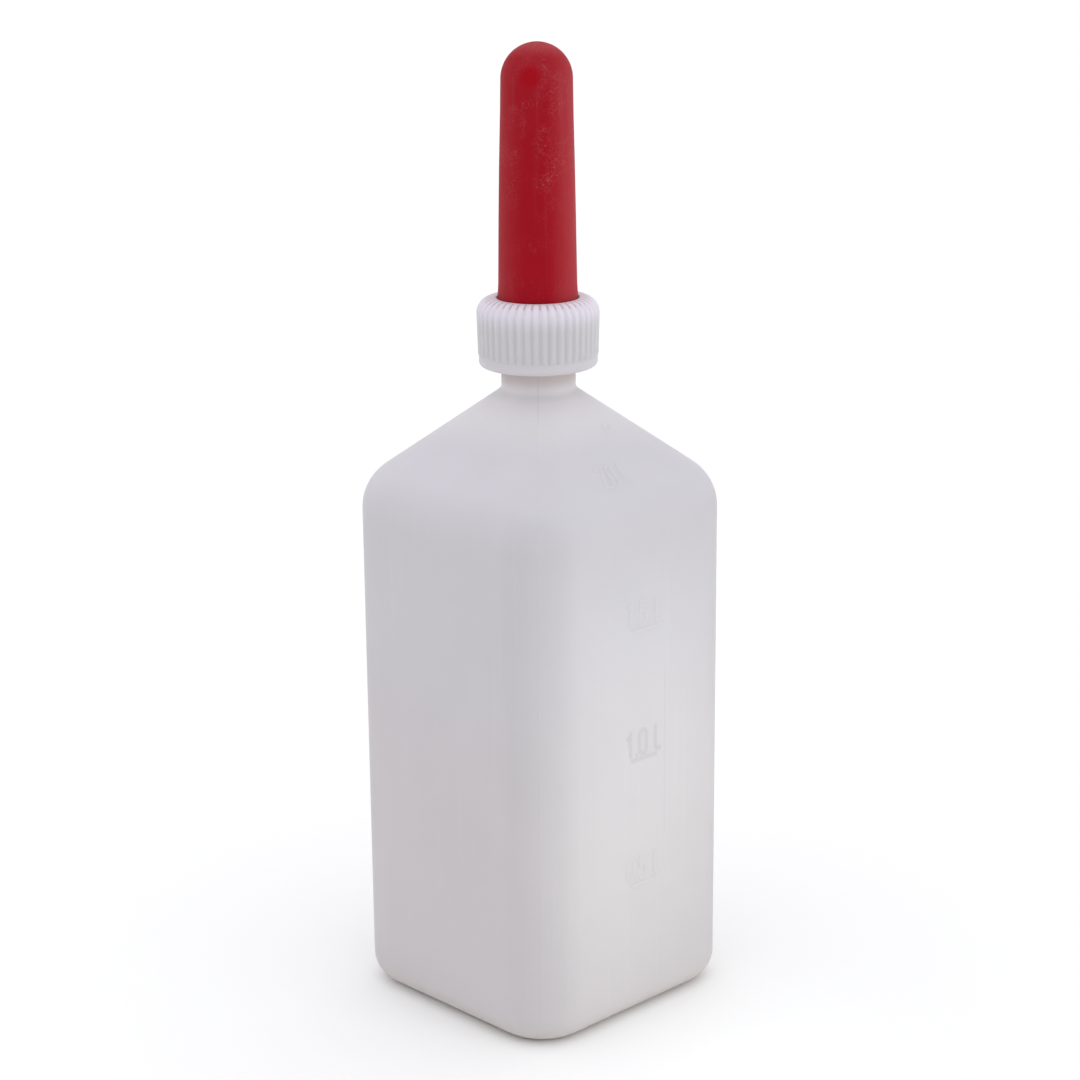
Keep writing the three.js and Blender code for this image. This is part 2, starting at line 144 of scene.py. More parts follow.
# Non-return valve
PLATE_LOW, PLATE_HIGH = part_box("valve_plate")
PLATE_TOP_Z = PLATE_LOW.z + 1.6 * MM
COLLAR_OUTER_RADIUS = 10.8 * MM
COLLAR_INNER_RADIUS = 9.8 * MM
SEAT_HOLE_RADIUS = 4 * MM
CAGE_LOW, CAGE_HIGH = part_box("valve_cage")
CAGE_WALL = 2 * MM
CAGE_FOOT_HEIGHT = 3.2 * MM
CAGE_TOP_THICKNESS = 1.8 * MM
CAGE_TOP_HOLE_RADIUS = 3 * MM
CAGE_SLOT_WIDTH = 7 * MM
BALL_LOW, BALL_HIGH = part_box("valve_ball")
RING_LOW, RING_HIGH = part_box("sealing_ring")
RING_INNER_RADIUS = 14.8 * MM
EDGE_ROUNDING = 0.3 * MM

# Graduations on the front face, as raised strokes
GRADUATIONS = [("0.5l", 55.3 * MM), ("1.0l", 104.5 * MM), ("1.5l", 153.7 * MM)]  # and their foot's height
SHOULDER_GRADUATION = "2.0l"
SHOULDER_GRADUATION_Z = 205.3 * MM
SHOULDER_GRADUATION_X = -4.9 * MM
SHOULDER_GRADUATION_WIDTH = 0.75  # of the others'
FIGURE_PLACES = [-5.8 * MM, -2.8 * MM, 0.65 * MM, 7.2 * MM]
FIGURE_HEIGHT = 9 * MM
FIGURE_HALF_WIDTH = 1.8 * MM
UNDERLINE = [(-5.1 * MM, -1.9 * MM), (7.5 * MM, -1.9 * MM)]
MOULD_RING_RADIUS = 1.7 * MM
MOULD_RING_PLACE = (8.4 * MM, 24 * MM)  # across, and up the slope from the figures' foot
STROKE_HALF_WIDTH = 0.7 * MM
STROKE_STAND = 0.13 * MM
STROKE_REACH = 1 * MM  # the strokes' edges lie in the wall, this far from the middle line
STROKE_BACK = 0.4 * MM
RELIEF_STEP = 0.22 * MM

# Light: the sky is bright up to HORIZON_TOP and dimmer above SKY_FOOT, heights on a sphere of radius 1
SKY_COLOUR = (0.97, 0.975, 1.0, 1)
HORIZON_STRENGTH = 1.0
SKY_STRENGTH = 0.645
HORIZON_TOP, SKY_FOOT = 0.16, 0.23
OVERHEAD_STRENGTH = 1.3
OVERHEAD_WIDTH = math.radians(110)

# Camera
CAMERA_AZIMUTH = math.radians(-44.245)
CAMERA_DISTANCE = 0.9341  # from the bottle's axis
CAMERA_HEIGHT = 0.44
CAMERA_PITCH = math.radians(15.83)
CAMERA_ROLL = math.radians(-0.506)
CAMERA_LENS = 87.1  # on a 36 mm sensor


# -------------------------------------------------------------------------------------------
# Mesh helpers
# -------------------------------------------------------------------------------------------


def make_object(name, points, faces, sharp_degrees=40):
    """A smooth-shaded mesh object whose coinciding vertices are joined and whose faces look out."""
    mesh = bpy.data.meshes.new(name)
    mesh.from_pydata(points.tolist(), [], faces)
    builder = bmesh.new()
    builder.from_mesh(mesh)
    bmesh.ops.remove_doubles(builder, verts=builder.verts, dist=1e-6)
    bmesh.ops.recalc_face_normals(builder, faces=builder.faces)
    builder.to_mesh(mesh)
    builder.free()
    piece = bpy.data.objects.new(name, mesh)
    bpy.context.scene.collection.objects.link(piece)
    smooth(piece, sharp_degrees)
    return piece


def smooth(piece, sharp_degrees=40):
    """Smooth shading, with edges sharper than the angle left sharp."""
    piece.data.shade_smooth()
    piece.data.set_sharp_from_angle(angle=math.radians(sharp_degrees))


def grid_faces(rows, columns, wrap_rows):
    """Quads between rows of points. Columns always wrap round."""
    row = np.arange(rows if wrap_rows else rows - 1)[:, None]
    column = np.arange(columns)[None, :]
    next_row = (row + 1) % rows
    next_column = (column + 1) % columns
    corners = [
        row * columns + column,
        row * columns + next_column,
        next_row * columns + next_column,
        next_row * columns + column,
    ]
    return np.stack(corners, axis=-1).reshape(-1, 4).tolist()


def arc(centre_radius, centre_z, radius, from_degrees, to_degrees, steps):
    """Points of a circular arc in the (radius, z) plane, angles from the outward direction."""
    angles = np.radians(np.linspace(from_degrees, to_degrees, steps + 1))
    return [(centre_radius + radius * math.cos(a), centre_z + radius * math.sin(a)) for a in angles]


def revolve(name, profile, columns, closed_profile):
    """A profile of (radius, z) points turned about the Z axis."""
    angle = np.linspace(0, 2 * math.pi, columns, endpoint=False)[None, :]
    radius = np.array([point[0] for point in profile])[:, None]
    z = np.array([point[1] for point in profile])[:, None] + 0 * angle
    points = np.stack([radius * np.sin(angle), -radius * np.cos(angle), z], axis=-1)
    faces = grid_faces(len(profile), columns, closed_profile)
    return make_object(name, points.reshape(-1, 3), faces)


def combine(piece, tool, operation):
    """Joins piece with tool, or cuts it, for good. The tool is used up."""
    modifier = piece.modifiers.new("combine", "BOOLEAN")
    modifier.operation = operation
    modifier.object = tool
    modifier.solver = "EXACT"
    bpy.context.view_layer.update()
    evaluated = piece.evaluated_get(bpy.context.evaluated_depsgraph_get())
    mesh = bpy.data.meshes.new_from_object(evaluated)
    piece.modifiers.clear()
    piece.data = mesh
    bpy.data.objects.remove(tool)


def box_object(name, size, centre):
    """A plain box, used only to cut with."""
    low, high = Vector(centre) - Vector(size) / 2, Vector(centre) + Vector(size) / 2
    corners = [(x, y, z) for x in (low.x, high.x) for y in (low.y, high.y) for z in (low.z, high.z)]
    faces = [(0, 1, 3, 2), (4, 6, 7, 5), (0, 4, 5, 1), (2, 3, 7, 6), (0, 2, 6, 4), (1, 5, 7, 3)]
    return make_object(name, np.array(corners), faces)


def smoothstep(value, low, high):
    """0 below low, 1 above high, and an easy curve between."""
    share = np.clip((value - low) / (high - low), 0, 1)
    return share * share * (3 - 2 * share)


def screw_thread(name, wall_radius, start_z, side, steps_per_turn=96):
    """A right-hand thread. side is 1 to stand out from a neck and -1 to stand in from a bore."""
    foot, crest = THREAD_FOOT / 2, THREAD_CREST / 2
    section = [
        (-THREAD_EMBED, -foot),
        (0, -foot),
        (THREAD_HEIGHT * 0.75, -crest * 1.35),
        (THREAD_HEIGHT, -crest * 0.7),
        (THREAD_HEIGHT, crest * 0.7),
        (THREAD_HEIGHT * 0.75, crest * 1.35),
        (0, foot),
        (-THREAD_EMBED, foot),
    ]
    along = np.linspace(0, 1, int(steps_per_turn * THREAD_TURNS))[:, None]
    height = np.array([point[0] for point in section])[None, :]
    rise = np.array([point[1] for point in section])[None, :]
    fullness = np.clip(np.minimum(along, 1 - along) / THREAD_RUN_OUT, 0, 1)
    sunk = -THREAD_EMBED / 4
    stand = np.where(height > 0, sunk + (height - sunk) * fullness, height + sunk)
    radius = wall_radius + side * stand
    angle = along * THREAD_TURNS * 2 * math.pi + 0 * height
    z = start_z + along * THREAD_TURNS * THREAD_PITCH + rise
    points = np.stack([radius * np.cos(angle), radius * np.sin(angle), z], axis=-1)
    rows, columns = angle.shape
    faces = grid_faces(rows, columns, False)
    faces.append(list(range(columns)))
    faces.append(list(range((rows - 1) * columns, rows * columns)))
    return make_object(name, points.reshape(-1, 3), faces)


# -------------------------------------------------------------------------------------------
# Material helper
# -------------------------------------------------------------------------------------------


class Recipe:
    """A procedural material: short ways to add its nodes and to feed its shader."""

    def __init__(self, name, colour, roughness):
        self.material = bpy.data.materials.new(name)
        self.material.use_nodes = True
        self.nodes = self.material.node_tree.nodes
        self.links = self.material.node_tree.links
        self.shader = self.nodes["Principled BSDF"]
        self.set(**{"Base Color": (*colour, 1), "Roughness": roughness})
        self.place = self.nodes.new("ShaderNodeTexCoord").outputs["Object"]
        self.height = None

    def set(self, **values):
        """Constant values, on the shader's own sockets."""
        for socket, value in values.items():
            self.shader.inputs[socket.replace("_", " ")].default_value = value

    def node(self, kind, inputs, **properties):
        """A node with its inputs linked or set, by name or number."""
        node = self.nodes.new(kind)
        for key, value in properties.items():
            setattr(node, key, value)
        for key, value in inputs.items():
            if isinstance(value, bpy.types.NodeSocket):
                self.links.new(value, node.inputs[key])
            else:
                node.inputs[key].default_value = value
        return node

    def stretched(self, scale):
        """The object's coordinates, multiplied along each axis."""
        return self.node("ShaderNodeMapping", {"Vector": self.place, "Scale": scale}).outputs[0]

    def noise(self, scale, detail=3.0, where=None, roughness=0.5):
        """Smooth noise from 0 to 1. scale counts features in a metre."""
        inputs = {"Vector": where or self.place, "Scale": scale, "Detail": detail, "Roughness": roughness}
        return self.node("ShaderNodeTexNoise", inputs).outputs["Fac"]

    def math(self, operation, first, second=0.0):
        """One sum, by the name of Blender's operation."""
        return self.node("ShaderNodeMath", {0: first, 1: second}, operation=operation).outputs[0]

    def remap(self, value, low, high, to_low=0.0, to_high=1.0):
        """value from low..high to to_low..to_high, eased and held at the ends."""
        inputs = {"Value": value, "From Min": low, "From Max": high, "To Min": to_low, "To Max": to_high}
        return self.node("ShaderNodeMapRange", inputs, interpolation_type="SMOOTHSTEP").outputs["Result"]

    def band(self, value, low, high, softness):
        """1 between low and high, fading to 0 over softness outside them."""
        rising = self.remap(value, low - softness, low)
        falling = self.remap(value, high, high + softness, 1.0, 0.0)
        return self.math("MULTIPLY", rising, falling)

    def axis(self, index):
        """One coordinate, 0 for X, 1 for Y and 2 for Z."""
        return self.node("ShaderNodeSeparateXYZ", {0: self.place}).outputs[index]

    def specks(self, scale, size, share):
        """Small round dots. share of the cells hold one."""
        inputs = {"Vector": self.place, "Scale": scale, "Randomness": 1.0}
        cells = self.node("ShaderNodeTexVoronoi", inputs)
        close = self.remap(cells.outputs["Distance"], size * 0.5, size, 1.0, 0.0)
        chance = self.node("ShaderNodeSeparateColor", {0: cells.outputs["Color"]}).outputs[0]
        chosen = self.math("LESS_THAN", chance, share)
        return self.math("MULTIPLY", close, chosen)

    def patch(self, degrees, height, size):
        """1 at a place on the teat, fading to 0 at size from it. The degrees run from -Y towards +X."""
        angle = math.radians(degrees)
        centre = (TEAT_TIP_RADIUS * math.sin(angle), -TEAT_TIP_RADIUS * math.cos(angle), height)
        distance = self.node("ShaderNodeVectorMath", {0: self.place, 1: centre}, operation="DISTANCE")
        return self.remap(distance.outputs["Value"], size * 0.3, size, 1.0, 0.0)

    def tint(self, base, factor, colour):
        """base turned towards a colour where factor is 1."""
        inputs = {0: factor, 6: base, 7: (*colour, 1) if isinstance(colour, tuple) else colour}
        return self.node("ShaderNodeMix", inputs, data_type="RGBA").outputs[2]

    def colour(self, socket):
        """Feeds the shader's colour."""
        self.links.new(socket, self.shader.inputs["Base Color"])

    def rough(self, socket):
        """Feeds the shader's roughness."""
        self.links.new(socket, self.shader.inputs["Roughness"])

    def bump(self, height, distance, strength=1.0):
        """Adds relief: height of 1 stands distance metres high."""
        inputs = {"Height": height, "Distance": distance, "Strength": strength}
        if self.height:
            inputs["Normal"] = self.height
        self.height = self.node("ShaderNodeBump", inputs).outputs["Normal"]
        self.links.new(self.height, self.shader.inputs["Normal"])


# -------------------------------------------------------------------------------------------
# Materials
# -------------------------------------------------------------------------------------------


# The bottle's colour by height: start, end, colour reached. Some rows hold painted light and shade, as
# marked.
HEIGHT_TINTS_AND_PAINTED_LIGHT = [
    (60 * MM, 175 * MM, (0.605, 0.582, 0.608)),
    (184 * MM, 204 * MM, (0.645, 0.622, 0.67)),
    # Painted light, these two rows: the shoulder's top and the neck's foot lightened where the cap shades
    # them
    (213 * MM, 231 * MM, (0.745, 0.715, 0.74)),
    (228 * MM, 232.5 * MM, (0.79, 0.757, 0.777)),
    # Partly painted shade under the cap, partly the neck's thicker wall with the thread and valve showing
    # through: the neck darkened
    (232.5 * MM, 239.5 * MM, (0.6, 0.53, 0.515)),
]


def milky_plastic(name):
    """A recipe for the bottle's translucent polyethylene, and its colour, which changes with height and
    holds painted light and shade round the neck.
    """
    milky = (0.603, 0.569, 0.583)
    recipe = Recipe(name, milky, 0.45)
    recipe.set(IOR=1.5, Specular_IOR_Level=0.05)
    recipe.set(Subsurface_Weight=0.3, Subsurface_Scale=0.006, Subsurface_Radius=(1.0, 0.95, 0.9))
    recipe.rough(recipe.remap(recipe.noise(60, where=recipe.stretched((1, 1, 0.3))), 0.3, 0.7, 0.4, 0.52))
    recipe.bump(recipe.noise(700, detail=2), 0.02 * MM)
    z = recipe.axis(2)
    colour = (*milky, 1)
    for start, end, reached in HEIGHT_TINTS_AND_PAINTED_LIGHT:
        colour = recipe.tint(colour, recipe.remap(z, start, end), reached)
    return recipe, recipe.tint(colour, recipe.remap(z, 1 * MM, 14 * MM, 0.5, 0.0), (0.61, 0.54, 0.49))


def bottle_material():
    """Milky plastic with clouds, faint upright flow streaks, a mould seam and specks."""
    recipe, colour = milky_plastic("bottle_plastic")
    x, y, z = (recipe.axis(index) for index in range(3))
    cloud = recipe.remap(recipe.noise(18), 0.35, 0.65, 0, 0.12)
    colour = recipe.tint(colour, cloud, (0.48, 0.47, 0.48))

    # Painted shade: the faces are darkened towards the upright corners, standing in for the darker rims
    # that dim surroundings give them
    spread = recipe.math("ADD", recipe.math("ABSOLUTE", x), recipe.math("ABSOLUTE", y))
    rim_shade = recipe.math("MULTIPLY", recipe.remap(spread, 84 * MM, 93 * MM), 0.1)
    colour = recipe.tint(colour, rim_shade, (0.4, 0.39, 0.4))

    # Flow streaks and a long scuff, on the graduated face
    streak = recipe.noise(1, where=recipe.stretched((420, 420, 9)), detail=4)
    colour = recipe.tint(colour, recipe.remap(streak, 0.55, 0.75, 0, 0.12), (0.68, 0.65, 0.66))
    front = recipe.math("LESS_THAN", y, -50 * MM)
    scuff = recipe.math("MULTIPLY", recipe.band(x, 11.9 * MM, 12.2 * MM, 0.5 * MM), front)
    scuff = recipe.math("MULTIPLY", scuff, recipe.band(z, 76 * MM, 130 * MM, 8 * MM))
    colour = recipe.tint(colour, recipe.math("MULTIPLY", scuff, 0.1), (0.36, 0.35, 0.36))

    # The mould's seam shows pinkish at its top
    off_seam = recipe.math("ABSOLUTE", recipe.math("SUBTRACT", x, y))
    seam = recipe.remap(off_seam, 0.2 * MM, 0.9 * MM, 1.0, 0.0)
    seam = recipe.math("MULTIPLY", seam, recipe.band(z, 230 * MM, 245 * MM, 8 * MM))
    colour = recipe.tint(colour, recipe.math("MULTIPLY", seam, 0.16), (0.55, 0.45, 0.45))

    specks = recipe.math("MULTIPLY", recipe.specks(70, 0.02, 0.1), 0.6)
    colour = recipe.tint(colour, specks, (0.36, 0.33, 0.34))
    recipe.colour(colour)
    recipe.bump(streak, 0.03 * MM)
    return recipe.material


def marks_material():
    """The bottle's plastic on the raised marks, with painted shade: the marks are darkened as thick
    plastic looks with light coming through it, most of all on the 1.0 l mark.
    """
    recipe, colour = milky_plastic("marks_plastic")
    recipe.set(Subsurface_Weight=0)
    # Painted shade: the 1.0 l mark is darkened most
    darkest_mark_shade = recipe.band(recipe.axis(2), 100 * MM, 116 * MM, 4 * MM)
    recipe.colour(recipe.tint(colour, recipe.remap(darkest_mark_shade, 0, 1, 0.03, 0.16), (0.2, 0.19, 0.2)))
    return recipe.material


def cap_material():
    """White polyethylene, with painted light on its top and on its band, and painted shade at the upper
    ends of the grooves.
    """
    white = (0.568, 0.555, 0.576)
    recipe = Recipe("cap_plastic", white, 0.48)
    recipe.set(IOR=1.5, Specular_IOR_Level=0.3)
    recipe.set(Subsurface_Weight=0.3, Subsurface_Scale=0.004, Subsurface_Radius=(1.0, 0.95, 0.9))
    x, y, z = (recipe.axis(index) for index in range(3))
    cloud = recipe.remap(recipe.noise(90), 0.4, 0.7, 0, 0.3)
    colour = recipe.tint((*white, 1), cloud, (0.545, 0.535, 0.552))
    # Painted light: the upper part of the cap is lighter and pinkish, as the light from above makes it
    colour = recipe.tint(colour, recipe.remap(z, 256 * MM, 266 * MM), (0.73, 0.685, 0.765))
    # Painted light: the band below the ribs is lighter, where the light from above doesn't reach
    colour = recipe.tint(colour, recipe.remap(z, 244 * MM, 247 * MM, 1.0, 0.0), (0.6, 0.572, 0.605))
    colour = recipe.tint(colour, recipe.specks(160, 0.04, 0.06), (0.35, 0.33, 0.33))

    turn = recipe.math("ARCTAN2", x, recipe.math("MULTIPLY", y, -1.0))
    phase = recipe.math("ADD", recipe.math("MULTIPLY", turn, float(RIB_COUNT)), RIB_PHASE)
    in_groove = recipe.remap(recipe.math("COSINE", phase), 0.1, 1.0)
    x_squared, y_squared = recipe.math("MULTIPLY", x, x), recipe.math("MULTIPLY", y, y)
    radius = recipe.math("SQRT", recipe.math("ADD", x_squared, y_squared))
    upper_end = recipe.band(radius, 17.2 * MM, 19.2 * MM, 1.2 * MM)
    upper_end = recipe.math("MULTIPLY", upper_end, recipe.remap(z, 262 * MM, 264 * MM))
    # Painted shade: the upper ends of the grooves are darkened
    groove_end_shade = recipe.math("MULTIPLY", recipe.math("MULTIPLY", in_groove, upper_end), 0.6)
    recipe.colour(recipe.tint(colour, groove_end_shade, (0.42, 0.3, 0.34)))
    recipe.rough(recipe.remap(recipe.noise(300), 0.3, 0.7, 0.42, 0.55))
    recipe.bump(recipe.noise(1500, detail=2), 0.015 * MM)
    return recipe.material


def teat_material():
    """Dull red rubber with a bloom of dust, painted light on one side and on the tip, a painted sheen on
    the other side, and worn patches of narrow curly lines and fine pale grains.
    """
    red, dust_and_light, pale = (0.315, 0.004, 0.012), (0.46, 0.085, 0.095), (0.45, 0.2, 0.2)
    recipe = Recipe("teat_rubber", red, 0.6)
    recipe.set(Specular_IOR_Level=0.05, Sheen_Weight=0.045, Sheen_Roughness=0.45)
    cloud = recipe.noise(45, detail=5)
    colour = recipe.tint((*red, 1), recipe.remap(cloud, 0.45, 0.75, 0, 0.6), (0.34, 0.017, 0.028))
    streak = recipe.noise(1, where=recipe.stretched((500, 500, 14)), detail=4)
    colour = recipe.tint(colour, recipe.remap(streak, 0.52, 0.8, 0, 0.2), (0.34, 0.055, 0.065))
    side = recipe.node("ShaderNodeVectorMath", {0: recipe.place, 1: DUST_AND_LIGHT_SIDE}, operation="DOT_PRODUCT")
    # Partly dust, partly painted light and sheen: the teat paled on its side towards +X and -Y
    colour = recipe.tint(colour, recipe.remap(side.outputs["Value"], 3 * MM, 14 * MM, 0.0, 0.27), dust_and_light)
    # Painted sheen: the teat paled a little on its side towards -X and +Y
    colour = recipe.tint(colour, recipe.remap(side.outputs["Value"], -14 * MM, -4 * MM, 0.12, 0.0), dust_and_light)
    # Painted light: the tip is paled, as the light from above makes it
    colour = recipe.tint(colour, recipe.remap(recipe.axis(2), 352 * MM, 358 * MM, 0.0, 0.4), dust_and_light)

    mottled = recipe.remap(recipe.noise(110, detail=3), 0.42, 0.66)
    worn = recipe.remap(recipe.axis(2), 290 * MM, 325 * MM, 0.2, 0.6)
    for patch in WORN_PATCHES:
        worn = recipe.math("MAXIMUM", recipe.patch(*patch), worn)
    worn = recipe.math("MULTIPLY", worn, mottled)
    smooth_part = recipe.patch(*SMOOTH_PATCH)
    worn = recipe.math("MULTIPLY", worn, recipe.math("SUBTRACT", 1.0, smooth_part))
    off_middle = recipe.math("ABSOLUTE", recipe.math("SUBTRACT", recipe.noise(480, detail=2), 0.5))
    curls = recipe.math("MULTIPLY", recipe.remap(off_middle, 0.0, 0.05, 0.11, 0.0), worn)
    grain = recipe.remap(recipe.noise(1100, detail=4, roughness=0.7), 0.5, 0.72, 0.0, 0.36)
    colour = recipe.tint(colour, curls, pale)
    colour = recipe.tint(colour, recipe.math("MULTIPLY", grain, worn), pale)
    recipe.colour(recipe.tint(colour, recipe.math("MULTIPLY", smooth_part, 0.75), (0.35, 0.0, 0.006)))
    recipe.rough(recipe.remap(cloud, 0.3, 0.7, 0.52, 0.7))
    recipe.bump(recipe.noise(1200, detail=3), 0.04 * MM)
    recipe.bump(curls, 0.1 * MM)
    return recipe.material


def valve_material():
    """Off-white moulded plastic of the valve."""
    ivory = (0.8, 0.79, 0.75)
    recipe = Recipe("valve_plastic", ivory, 0.38)
    cloud = recipe.remap(recipe.noise(120), 0.4, 0.7, 0, 0.3)
    recipe.colour(recipe.tint((*ivory, 1), cloud, (0.74, 0.73, 0.68)))
    recipe.rough(recipe.remap(recipe.noise(400), 0.3, 0.7, 0.32, 0.46))
    recipe.bump(recipe.noise(1500, detail=2), 0.01 * MM)
    return recipe.material


def ball_material():
    """Smooth white plastic of the ball, lightly marked by its seat."""
    white = (0.87, 0.87, 0.85)
    recipe = Recipe("ball_plastic", white, 0.22)
    cloud = recipe.remap(recipe.noise(250), 0.5, 0.75, 0, 0.3)
    recipe.colour(recipe.tint((*white, 1), cloud, (0.8, 0.8, 0.77)))
    recipe.rough(recipe.remap(recipe.noise(500), 0.3, 0.7, 0.18, 0.3))
    return recipe.material


def seal_material():
    """Grey-buff rubber of the sealing ring."""
    buff = (0.49, 0.45, 0.37)
    recipe = Recipe("seal_rubber", buff, 0.7)
    recipe.set(Specular_IOR_Level=0.3)
    cloud = recipe.remap(recipe.noise(300), 0.4, 0.7, 0, 0.4)
    recipe.colour(recipe.tint((*buff, 1), cloud, (0.42, 0.385, 0.32)))
    recipe.bump(recipe.noise(2000, detail=2), 0.03 * MM)
    return recipe.material


def floor_material():
    """Plain pale floor."""
    pale = (0.975, 0.975, 0.975)
    recipe = Recipe("floor_pale", pale, 0.9)
    recipe.set(Specular_IOR_Level=0.1)
    return recipe.material


# -------------------------------------------------------------------------------------------
# Bottle
# -------------------------------------------------------------------------------------------


def reach(angle, half_side, corner_radius):
    """Distance from the axis to a rounded square's outline, for arrays of angles and sizes."""
    cosine, sine = np.abs(np.cos(angle)), np.abs(np.sin(angle))
    flat_reach = half_side / np.maximum(cosine, sine)
    centre = half_side - corner_radius
    along = centre * (cosine + sine)
    corner_reach = along + np.sqrt(np.maximum(along**2 - 2 * centre**2 + corner_radius**2, 0))
    on_flat = flat_reach * np.minimum(cosine, sine) <= centre
    return np.where(on_flat, flat_reach, corner_reach)


def base_levels(steps):
    """(z, half side, corner radius) from the middle of the base out to the side."""
    foot_outer = HALF_SIDE - BASE_EDGE_RADIUS
    foot_inner = foot_outer - FOOT_RING_WIDTH
    ramp_top = foot_inner - PUSH_UP_RAMP
    foot_corner = CORNER_RADIUS - BASE_EDGE_RADIUS
    middle = [ramp_top * share for share in (0, 0.15, 0.4, 0.7)]
    levels = [(PUSH_UP_HEIGHT, half_side, min(foot_corner, half_side)) for half_side in middle]
    for share in np.linspace(0, 1, steps + 1):
        height = PUSH_UP_HEIGHT * (1 - smoothstep(share, 0, 1))
        levels.append((float(height), ramp_top + PUSH_UP_RAMP * share, foot_corner))
    for half_side, z in arc(foot_outer, BASE_EDGE_RADIUS, BASE_EDGE_RADIUS, -90, 0, 2 * steps):
        levels.append((z, half_side, foot_corner + half_side - foot_outer))
    return levels


def side_levels(steps):
    """The upright side, between the base's edge and the shoulder."""
    heights = np.linspace(BASE_EDGE_RADIUS, SHOULDER_START_Z, steps + 1)[1:-1]
    return [(z, HALF_SIDE, CORNER_RADIUS) for z in heights]


def shoulder_levels(steps):
    """The shoulder, where the square turns into the neck's circle.

    Its outline over a corner is an arc that leaves the side upright, then a straight slope.
    """
    corner_reach = float(reach(math.pi / 4, HALF_SIDE, CORNER_RADIUS))
    centre = Vector((corner_reach - SHOULDER_ARC_RADIUS, SHOULDER_START_Z))
    to_neck = Vector((WAIST_RADIUS, SHOULDER_TOP_Z)) - centre
    turn = math.atan2(to_neck.y, to_neck.x) - math.acos(SHOULDER_ARC_RADIUS / to_neck.length)
    outline = arc(centre.x, centre.y, SHOULDER_ARC_RADIUS, 0, math.degrees(turn), steps)
    start = Vector(outline[-1])
    end = Vector((WAIST_RADIUS, SHOULDER_TOP_Z))
    slope_end = end + (start - end).normalized() * NECK_FILLET
    fillet_end = end + Vector((0, NECK_FILLET))
    outline += [tuple(start.lerp(slope_end, share)) for share in np.linspace(0, 1, 2 * steps + 1)[1:]]
    for share in np.linspace(0, 1, 7)[1:]:
        outline.append(tuple(slope_end.lerp(end, share).lerp(end.lerp(fillet_end, share), share)))
    levels = []
    for outline_reach, z in outline:
        roundness = (corner_reach - outline_reach) / (corner_reach - WAIST_RADIUS)
        half_side = HALF_SIDE + (WAIST_RADIUS - HALF_SIDE) * roundness
        corner = CORNER_RADIUS + (WAIST_RADIUS - CORNER_RADIUS) * roundness
        levels.append((z, half_side, corner))
    return levels


def neck_levels(steps):
    """The waist, the flare above it and the finish up to the rim's rounding."""
    flare = np.linspace(0, 1, steps + 1)
    profile = [(WAIST_RADIUS, WAIST_TOP_Z - 2 * MM)]
    for share in flare:
        radius = WAIST_RADIUS + (FINISH_RADIUS - WAIST_RADIUS) * float(smoothstep(share, 0, 1))
        profile.append((radius, WAIST_TOP_Z + (FINISH_START_Z - WAIST_TOP_Z) * share))
    profile += arc(FINISH_RADIUS - RIM_ROUNDING, RIM_Z - RIM_ROUNDING, RIM_ROUNDING, 0, 90, 4)
    return [(z, radius, radius) for radius, z in profile]


def wall_at(z):
    """The wall's thickness at a height."""
    heights = [SHOULDER_START_Z, SHOULDER_TOP_Z, WAIST_TOP_Z, FINISH_START_Z]
    return float(np.interp(z, heights, [BODY_WALL, WAIST_WALL, WAIST_WALL, FINISH_WALL]))


def inner_levels():
    """The inside of the wall, from the mouth down to the middle of the base."""
    outside = base_levels(3) + side_levels(2) + shoulder_levels(6)
    inside = []
    for index, (z, half_side, corner) in enumerate(outside):
        before, after = outside[max(index - 1, 0)], outside[min(index + 1, len(outside) - 1)]
        run = Vector((after[1] - before[1], after[0] - before[0])).normalized()
        wall = wall_at(z)
        inside.append((z + wall * run.x, max(half_side - wall * run.y, 0), max(corner - wall * run.y, 0)))
    bore = FINISH_RADIUS - FINISH_WALL
    waist = WAIST_RADIUS - WAIST_WALL
    inside += [(z, waist, waist) for z in (SHOULDER_TOP_Z + NECK_FILLET, WAIST_TOP_Z - 1 * MM)]
    inside += [(FINISH_START_Z, bore, bore)]
    rim = arc(bore + RIM_ROUNDING, RIM_Z - RIM_ROUNDING, RIM_ROUNDING, 180, 90, 4)
    inside += [(z, radius, radius) for radius, z in rim]
    return inside[::-1]


def section_columns(flat_steps=9, corner_steps=14):
    """The columns of every section, as (angle, offset, share of the gap beside a seam, in a seam).

    They lie close together round the corners and closer still on a seam.
    """
    corner_start = math.atan2(HALF_SIDE - CORNER_RADIUS, HALF_SIDE)
    quarter = math.pi / 2
    first_flat = np.linspace(0, corner_start, flat_steps, endpoint=False)
    corner = np.linspace(corner_start, quarter - corner_start, corner_steps, endpoint=False)
    second_flat = np.linspace(quarter - corner_start, quarter, flat_steps, endpoint=False)
    one_side = np.concatenate([first_flat, corner, second_flat])
    angles = np.concatenate([one_side + side * quarter for side in range(4)])
    seams = [1.5 * quarter, 3.5 * quarter]  # over the corners behind right and in front left
    plain = [angle for angle in angles if min(abs(angle - seam) for seam in seams) > SEAM_GAP]
    columns = [(angle, 0.0, 0.0, False) for angle in plain]
    for seam in seams:
        columns += [(seam, offset, 0.0, True) for offset in SEAM_OFFSETS]
        for side in (-1, 1):
            columns += [(seam, side * SEAM_EDGE, side * share, True) for share in (0.35, 0.7)]
    return np.array(sorted(columns))


def bow_at(across, z):
    """How far a face is drawn in, as a blown wall is when it cools.

    across is 0 in the middle of a face and 1 at its edges.
    """
    up = np.clip((z - BASE_EDGE_RADIUS) / (SHOULDER_START_Z - BASE_EDGE_RADIUS), 0, 1)
    return PANEL_BOW * np.clip(1 - across**2, 0, 1) ** 2 * np.sin(math.pi * up) ** 0.6


